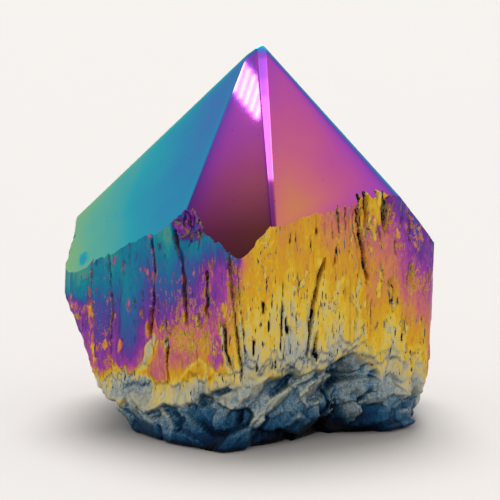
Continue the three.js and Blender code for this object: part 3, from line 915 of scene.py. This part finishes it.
def polished_material():
    """Titanium film on polished quartz: a clear coloured mirror, its colour drifting over each face."""
    material, tree = new_material("titanium film on polished quartz")
    place = add(tree, "TexCoord").outputs["Object"]
    scaled = add(tree, "VectorMath", {0: place, "Scale": 1 / MM}, operation="SCALE")
    film, rim = 0.5, 0.0
    first, second = -99.0, -99.0
    for face in POLISHED.values():
        normal = normal_of(face)
        reach = normal.dot(Vector(TIP)) - face["drop"]
        level = add(tree, "VectorMath", {0: scaled, 1: normal}, operation="DOT_PRODUCT")
        out = add(tree, "Math", {0: level, 1: reach}, operation="SUBTRACT")
        start, per_right, per_down = face["film"]
        turn = math.radians(face["azimuth"])
        right = Vector((math.cos(turn), math.sin(turn), 0))
        drift = right * per_right - Vector((0, 0, per_down))
        along = add(tree, "VectorMath", {0: scaled, 1: drift}, operation="DOT_PRODUCT")
        offset = start - drift.dot(Vector(TIP))
        own = add(tree, "Math", {0: along, 1: offset}, operation="ADD")
        here = add(
            tree, "MapRange", {"Value": out, "From Min": -0.12, "From Max": -0.02},
            interpolation_type="SMOOTHSTEP",
        )
        film = add(tree, "Mix", {"Factor": here, 2: film, 3: own})
        fade = add(tree, "Math", {0: out, 1: 1 / RIM_WIDTH}, operation="MULTIPLY")
        fade = add(tree, "Math", {0: fade}, operation="EXPONENT")
        fade = add(tree, "Mix", {"Factor": here, 2: fade, 3: 0.0})
        rise = add(tree, "Math", {0: fade, 1: face["rim"]}, operation="MULTIPLY")
        rim = add(tree, "Math", {0: rim, 1: rise}, operation="MAXIMUM")
        lower = add(tree, "Math", {0: first, 1: out}, operation="MINIMUM")
        second = add(tree, "Math", {0: second, 1: lower}, operation="MAXIMUM")
        first = add(tree, "Math", {0: first, 1: out}, operation="MAXIMUM")
    for side in SIDES.values():
        turn = math.radians(side["azimuth"])
        outward = Vector((math.sin(turn), -math.cos(turn), 0))
        level = add(tree, "VectorMath", {0: scaled, 1: outward}, operation="DOT_PRODUCT")
        widest = max(distance for _, distance in side["reach"])
        out = add(tree, "Math", {0: level, 1: widest}, operation="SUBTRACT")
        second = add(tree, "Math", {0: second, 1: out}, operation="MAXIMUM")
    second = add(tree, "Math", {0: second, 1: 0.0}, operation="MINIMUM")
    away = add(tree, "VectorMath", {0: scaled, 1: TIP}, operation="DISTANCE")
    rises = [rim]
    for reach, width, most in ((second, FADE_WIDTH, FADE_RISE), (away, -TIP_WIDTH, TIP_RISE)):
        fade = add(tree, "Math", {0: reach, 1: 1 / width}, operation="MULTIPLY")
        fade = add(tree, "Math", {0: fade}, operation="EXPONENT")
        rises.append(add(tree, "Math", {0: fade, 1: most}, operation="MULTIPLY"))
    for rise in rises:
        film = add(tree, "Mix", {"Factor": rise, 2: film, 3: 1.0})
    away = add(tree, "VectorMath", {0: scaled, 1: BLOTCH}, operation="DISTANCE")
    frayed = add(tree, "TexNoise", {"Vector": scaled, "Scale": 1.1, "Detail": 4.0, "Roughness": 0.7})
    away = add(tree, "Math", {0: frayed, 1: BLOTCH_FRAY, 2: away}, operation="MULTIPLY_ADD")
    inner, outer = (BLOTCH_FRAY / 2 + size for size in BLOTCH_SIZE)
    blotched = add(tree, "MapRange", {"Value": away, "From Min": outer, "From Max": inner, "To Max": 0.9})
    film = add(tree, "Mix", {"Factor": blotched, 2: film, 3: BLOTCH_FILM})
    smear = add(tree, "TexNoise", {"Vector": scaled, "Scale": 0.12, "Detail": 2.0})
    film = add(tree, "Math", {0: smear, 1: 0.08, 2: film}, operation="MULTIPLY_ADD")
    film = add(tree, "Math", {0: film, 1: 0.04}, operation="SUBTRACT")
    colour = ramp_over(tree, film, COAT)
    cells = add(tree, "TexVoronoi", {"Vector": scaled, "Scale": 0.55})
    speck = add(
        tree, "MapRange",
        {"Value": cells, "From Min": 0.03, "From Max": 0.06, "To Min": 0.75, "To Max": 0.0},
    )
    marked = add(tree, "Mix", {"Factor": speck, 6: colour, 7: linear(SPECK_COLOUR)}, data_type="RGBA")
    shader = add(tree, "BsdfPrincipled", {"Base Color": marked, "Metallic": 1.0, "Roughness": 0.03})
    add(tree, "OutputMaterial", {"Surface": shader})
    return material


# ---- Stage ----

CAMERA_TILT, CAMERA_AWAY, AIM_HEIGHT = 11, 430, 27.9
LENS, SENSOR = 183.9, 36
PAPER, PAPER_RADIUS = "#b5b2b0", 6  # metres

# The studio's walls by how far forward of straight up they stand (the tangent of that angle): a
# softbox overhead, a dark gap in front of it, then the pale room.
STUDIO = [
    (0.30, "#fffdfb"), (0.36, "#fffdfb"), (0.42, "#f7f5f3"), (0.447, "#f7f5f3"), (0.462, "#e6e3e1"),
    (0.474, "#cecac8"), (0.49, "#a6a2a0"), (0.505, "#746f6e"), (0.52, "#5a5655"), (0.70, "#504d4c"),
    (1.0, "#fffdfb"),
]
WORLD_STRENGTH = 0.97

SUN_STRENGTH, SUN_WIDE, SUN_FROM = 3.5, 36, (0, 0.42, 1.0)  # wide in degrees

# The window blind: its first slat, the step to the next, the way to it, and its roll. A wider, dimmer
# glow fills the gaps.
BLIND_FIRST, BLIND_PITCH = Vector((-116.2, -138.1, 362.2)), Vector((1.42, -1.90, -1.18))
BLIND_GAZE, BLIND_ROLL = Vector((-0.3235, -0.378, 0.867)), 8
SLATS, SLAT_SIZE, SLAT_RADIANCE = 5, (1.2, 9.4), 16
GLOW_SIZE, GLOW_RADIANCE = (3.1, 9.4), 1.9

# The narrow softbox dims towards its far end, as lamps laid over each other: how much longer than the
# first each is, its radiance, and how far its middle goes back and up for each millimetre longer.
SOFTBOX_AT, SOFTBOX_AIM, SOFTBOX_ROLL = (37.8, -158.4, 367.3), (3, -12, 50), -8
SOFTBOX_WIDE, SOFTBOX_LONG = 5, 25
SOFTBOX_LAMPS = ((0, 1.6), (5, 0.9), (11, 0.8), (18, 0.6))
SOFTBOX_BACK, SOFTBOX_UP = 0.48, 0.24


def add_lamp(name, place, aim, roll, size, radiance):
    """A flat lamp, sized across and up, turned round its beam by a roll in degrees."""
    data = bpy.data.lights.new(name, "AREA")
    data.shape = "RECTANGLE"
    data.size, data.size_y = (length * MM for length in size)
    data.energy = math.pi * radiance * data.size * data.size_y
    lamp = bpy.data.objects.new(name, data)
    lamp.location = Vector(place) * MM
    beam = (Vector(aim) - Vector(place)).to_track_quat("-Z", "Y")
    lamp.rotation_euler = (beam @ Quaternion((0, 0, 1), math.radians(roll))).to_euler()
    bpy.context.scene.collection.objects.link(lamp)


def stage():
    scene = bpy.context.scene
    scene.view_settings.view_transform = "Standard"
    scene.view_settings.look = "None"

    # Matt paper: even and pale, without a shine.
    material, tree = new_material("pale paper sweep")
    paper = add(tree, "BsdfPrincipled", {"Base Color": linear(PAPER), "Roughness": 0.9})
    add(tree, "OutputMaterial", {"Surface": paper})
    bm = bmesh.new()
    bmesh.ops.create_circle(bm, cap_ends=True, segments=96, radius=PAPER_RADIUS)
    floor = object_of("floor", bm, [material])

    world = bpy.data.worlds.new("studio")
    scene.world = world
    world.use_nodes = True
    tree = world.node_tree
    tree.nodes.clear()
    direction = add(tree, "TexCoord").outputs["Generated"]
    split = add(tree, "SeparateXYZ", {"Vector": direction})
    up = add(tree, "Math", {0: split.outputs["Z"], 1: 0.001}, operation="MAXIMUM")
    back = add(tree, "Math", {0: split.outputs["Y"], 1: up}, operation="DIVIDE")
    forward = add(tree, "Math", {0: back, 1: -1.0}, operation="MULTIPLY")
    walls = ramp_over(tree, forward, STUDIO)
    background = add(tree, "Background", {"Color": walls, "Strength": WORLD_STRENGTH})
    add(tree, "OutputWorld", {"Surface": background})

    sun = bpy.data.lights.new("window light", "SUN")
    sun.energy = SUN_STRENGTH
    sun.angle = math.radians(SUN_WIDE)
    window = bpy.data.objects.new("window light", sun)
    window.rotation_euler = (-Vector(SUN_FROM)).to_track_quat("-Z", "Y").to_euler()
    scene.collection.objects.link(window)

    # Seen as a ladder of bright lines in the foremost polished face.
    for number in range(SLATS):
        slat = BLIND_FIRST + number * BLIND_PITCH
        aim, glow = slat - BLIND_GAZE, slat - 0.5 * BLIND_GAZE
        add_lamp(f"blind slat {number + 1}", slat, aim, BLIND_ROLL, SLAT_SIZE, SLAT_RADIANCE)
        add_lamp(f"behind the blind {number + 1}", glow, aim, BLIND_ROLL, GLOW_SIZE, GLOW_RADIANCE)

    # Seen in the sliver beside it.
    x, y, z = SOFTBOX_AT
    for longer, radiance in SOFTBOX_LAMPS:
        long = SOFTBOX_LONG + longer
        place = (x, y + SOFTBOX_BACK * longer, z + SOFTBOX_UP * longer)
        add_lamp(
            f"narrow softbox {long}", place, SOFTBOX_AIM, SOFTBOX_ROLL, (SOFTBOX_WIDE, long), radiance
        )

    camera = bpy.data.objects.new("camera", bpy.data.cameras.new("camera"))
    scene.collection.objects.link(camera)
    tilt = math.radians(CAMERA_TILT)
    aim = Vector((0, 0, AIM_HEIGHT))
    camera.location = (aim + CAMERA_AWAY * Vector((0, -math.cos(tilt), math.sin(tilt)))) * MM
    camera.rotation_euler = (math.pi / 2 - tilt, 0, 0)
    camera.data.lens = LENS
    camera.data.sensor_width = SENSOR
    camera.data.clip_start = 0.01
    scene.camera = camera


crystal = finished_crystal()
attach(crystal, "root")
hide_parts("crystal_point")
stage()
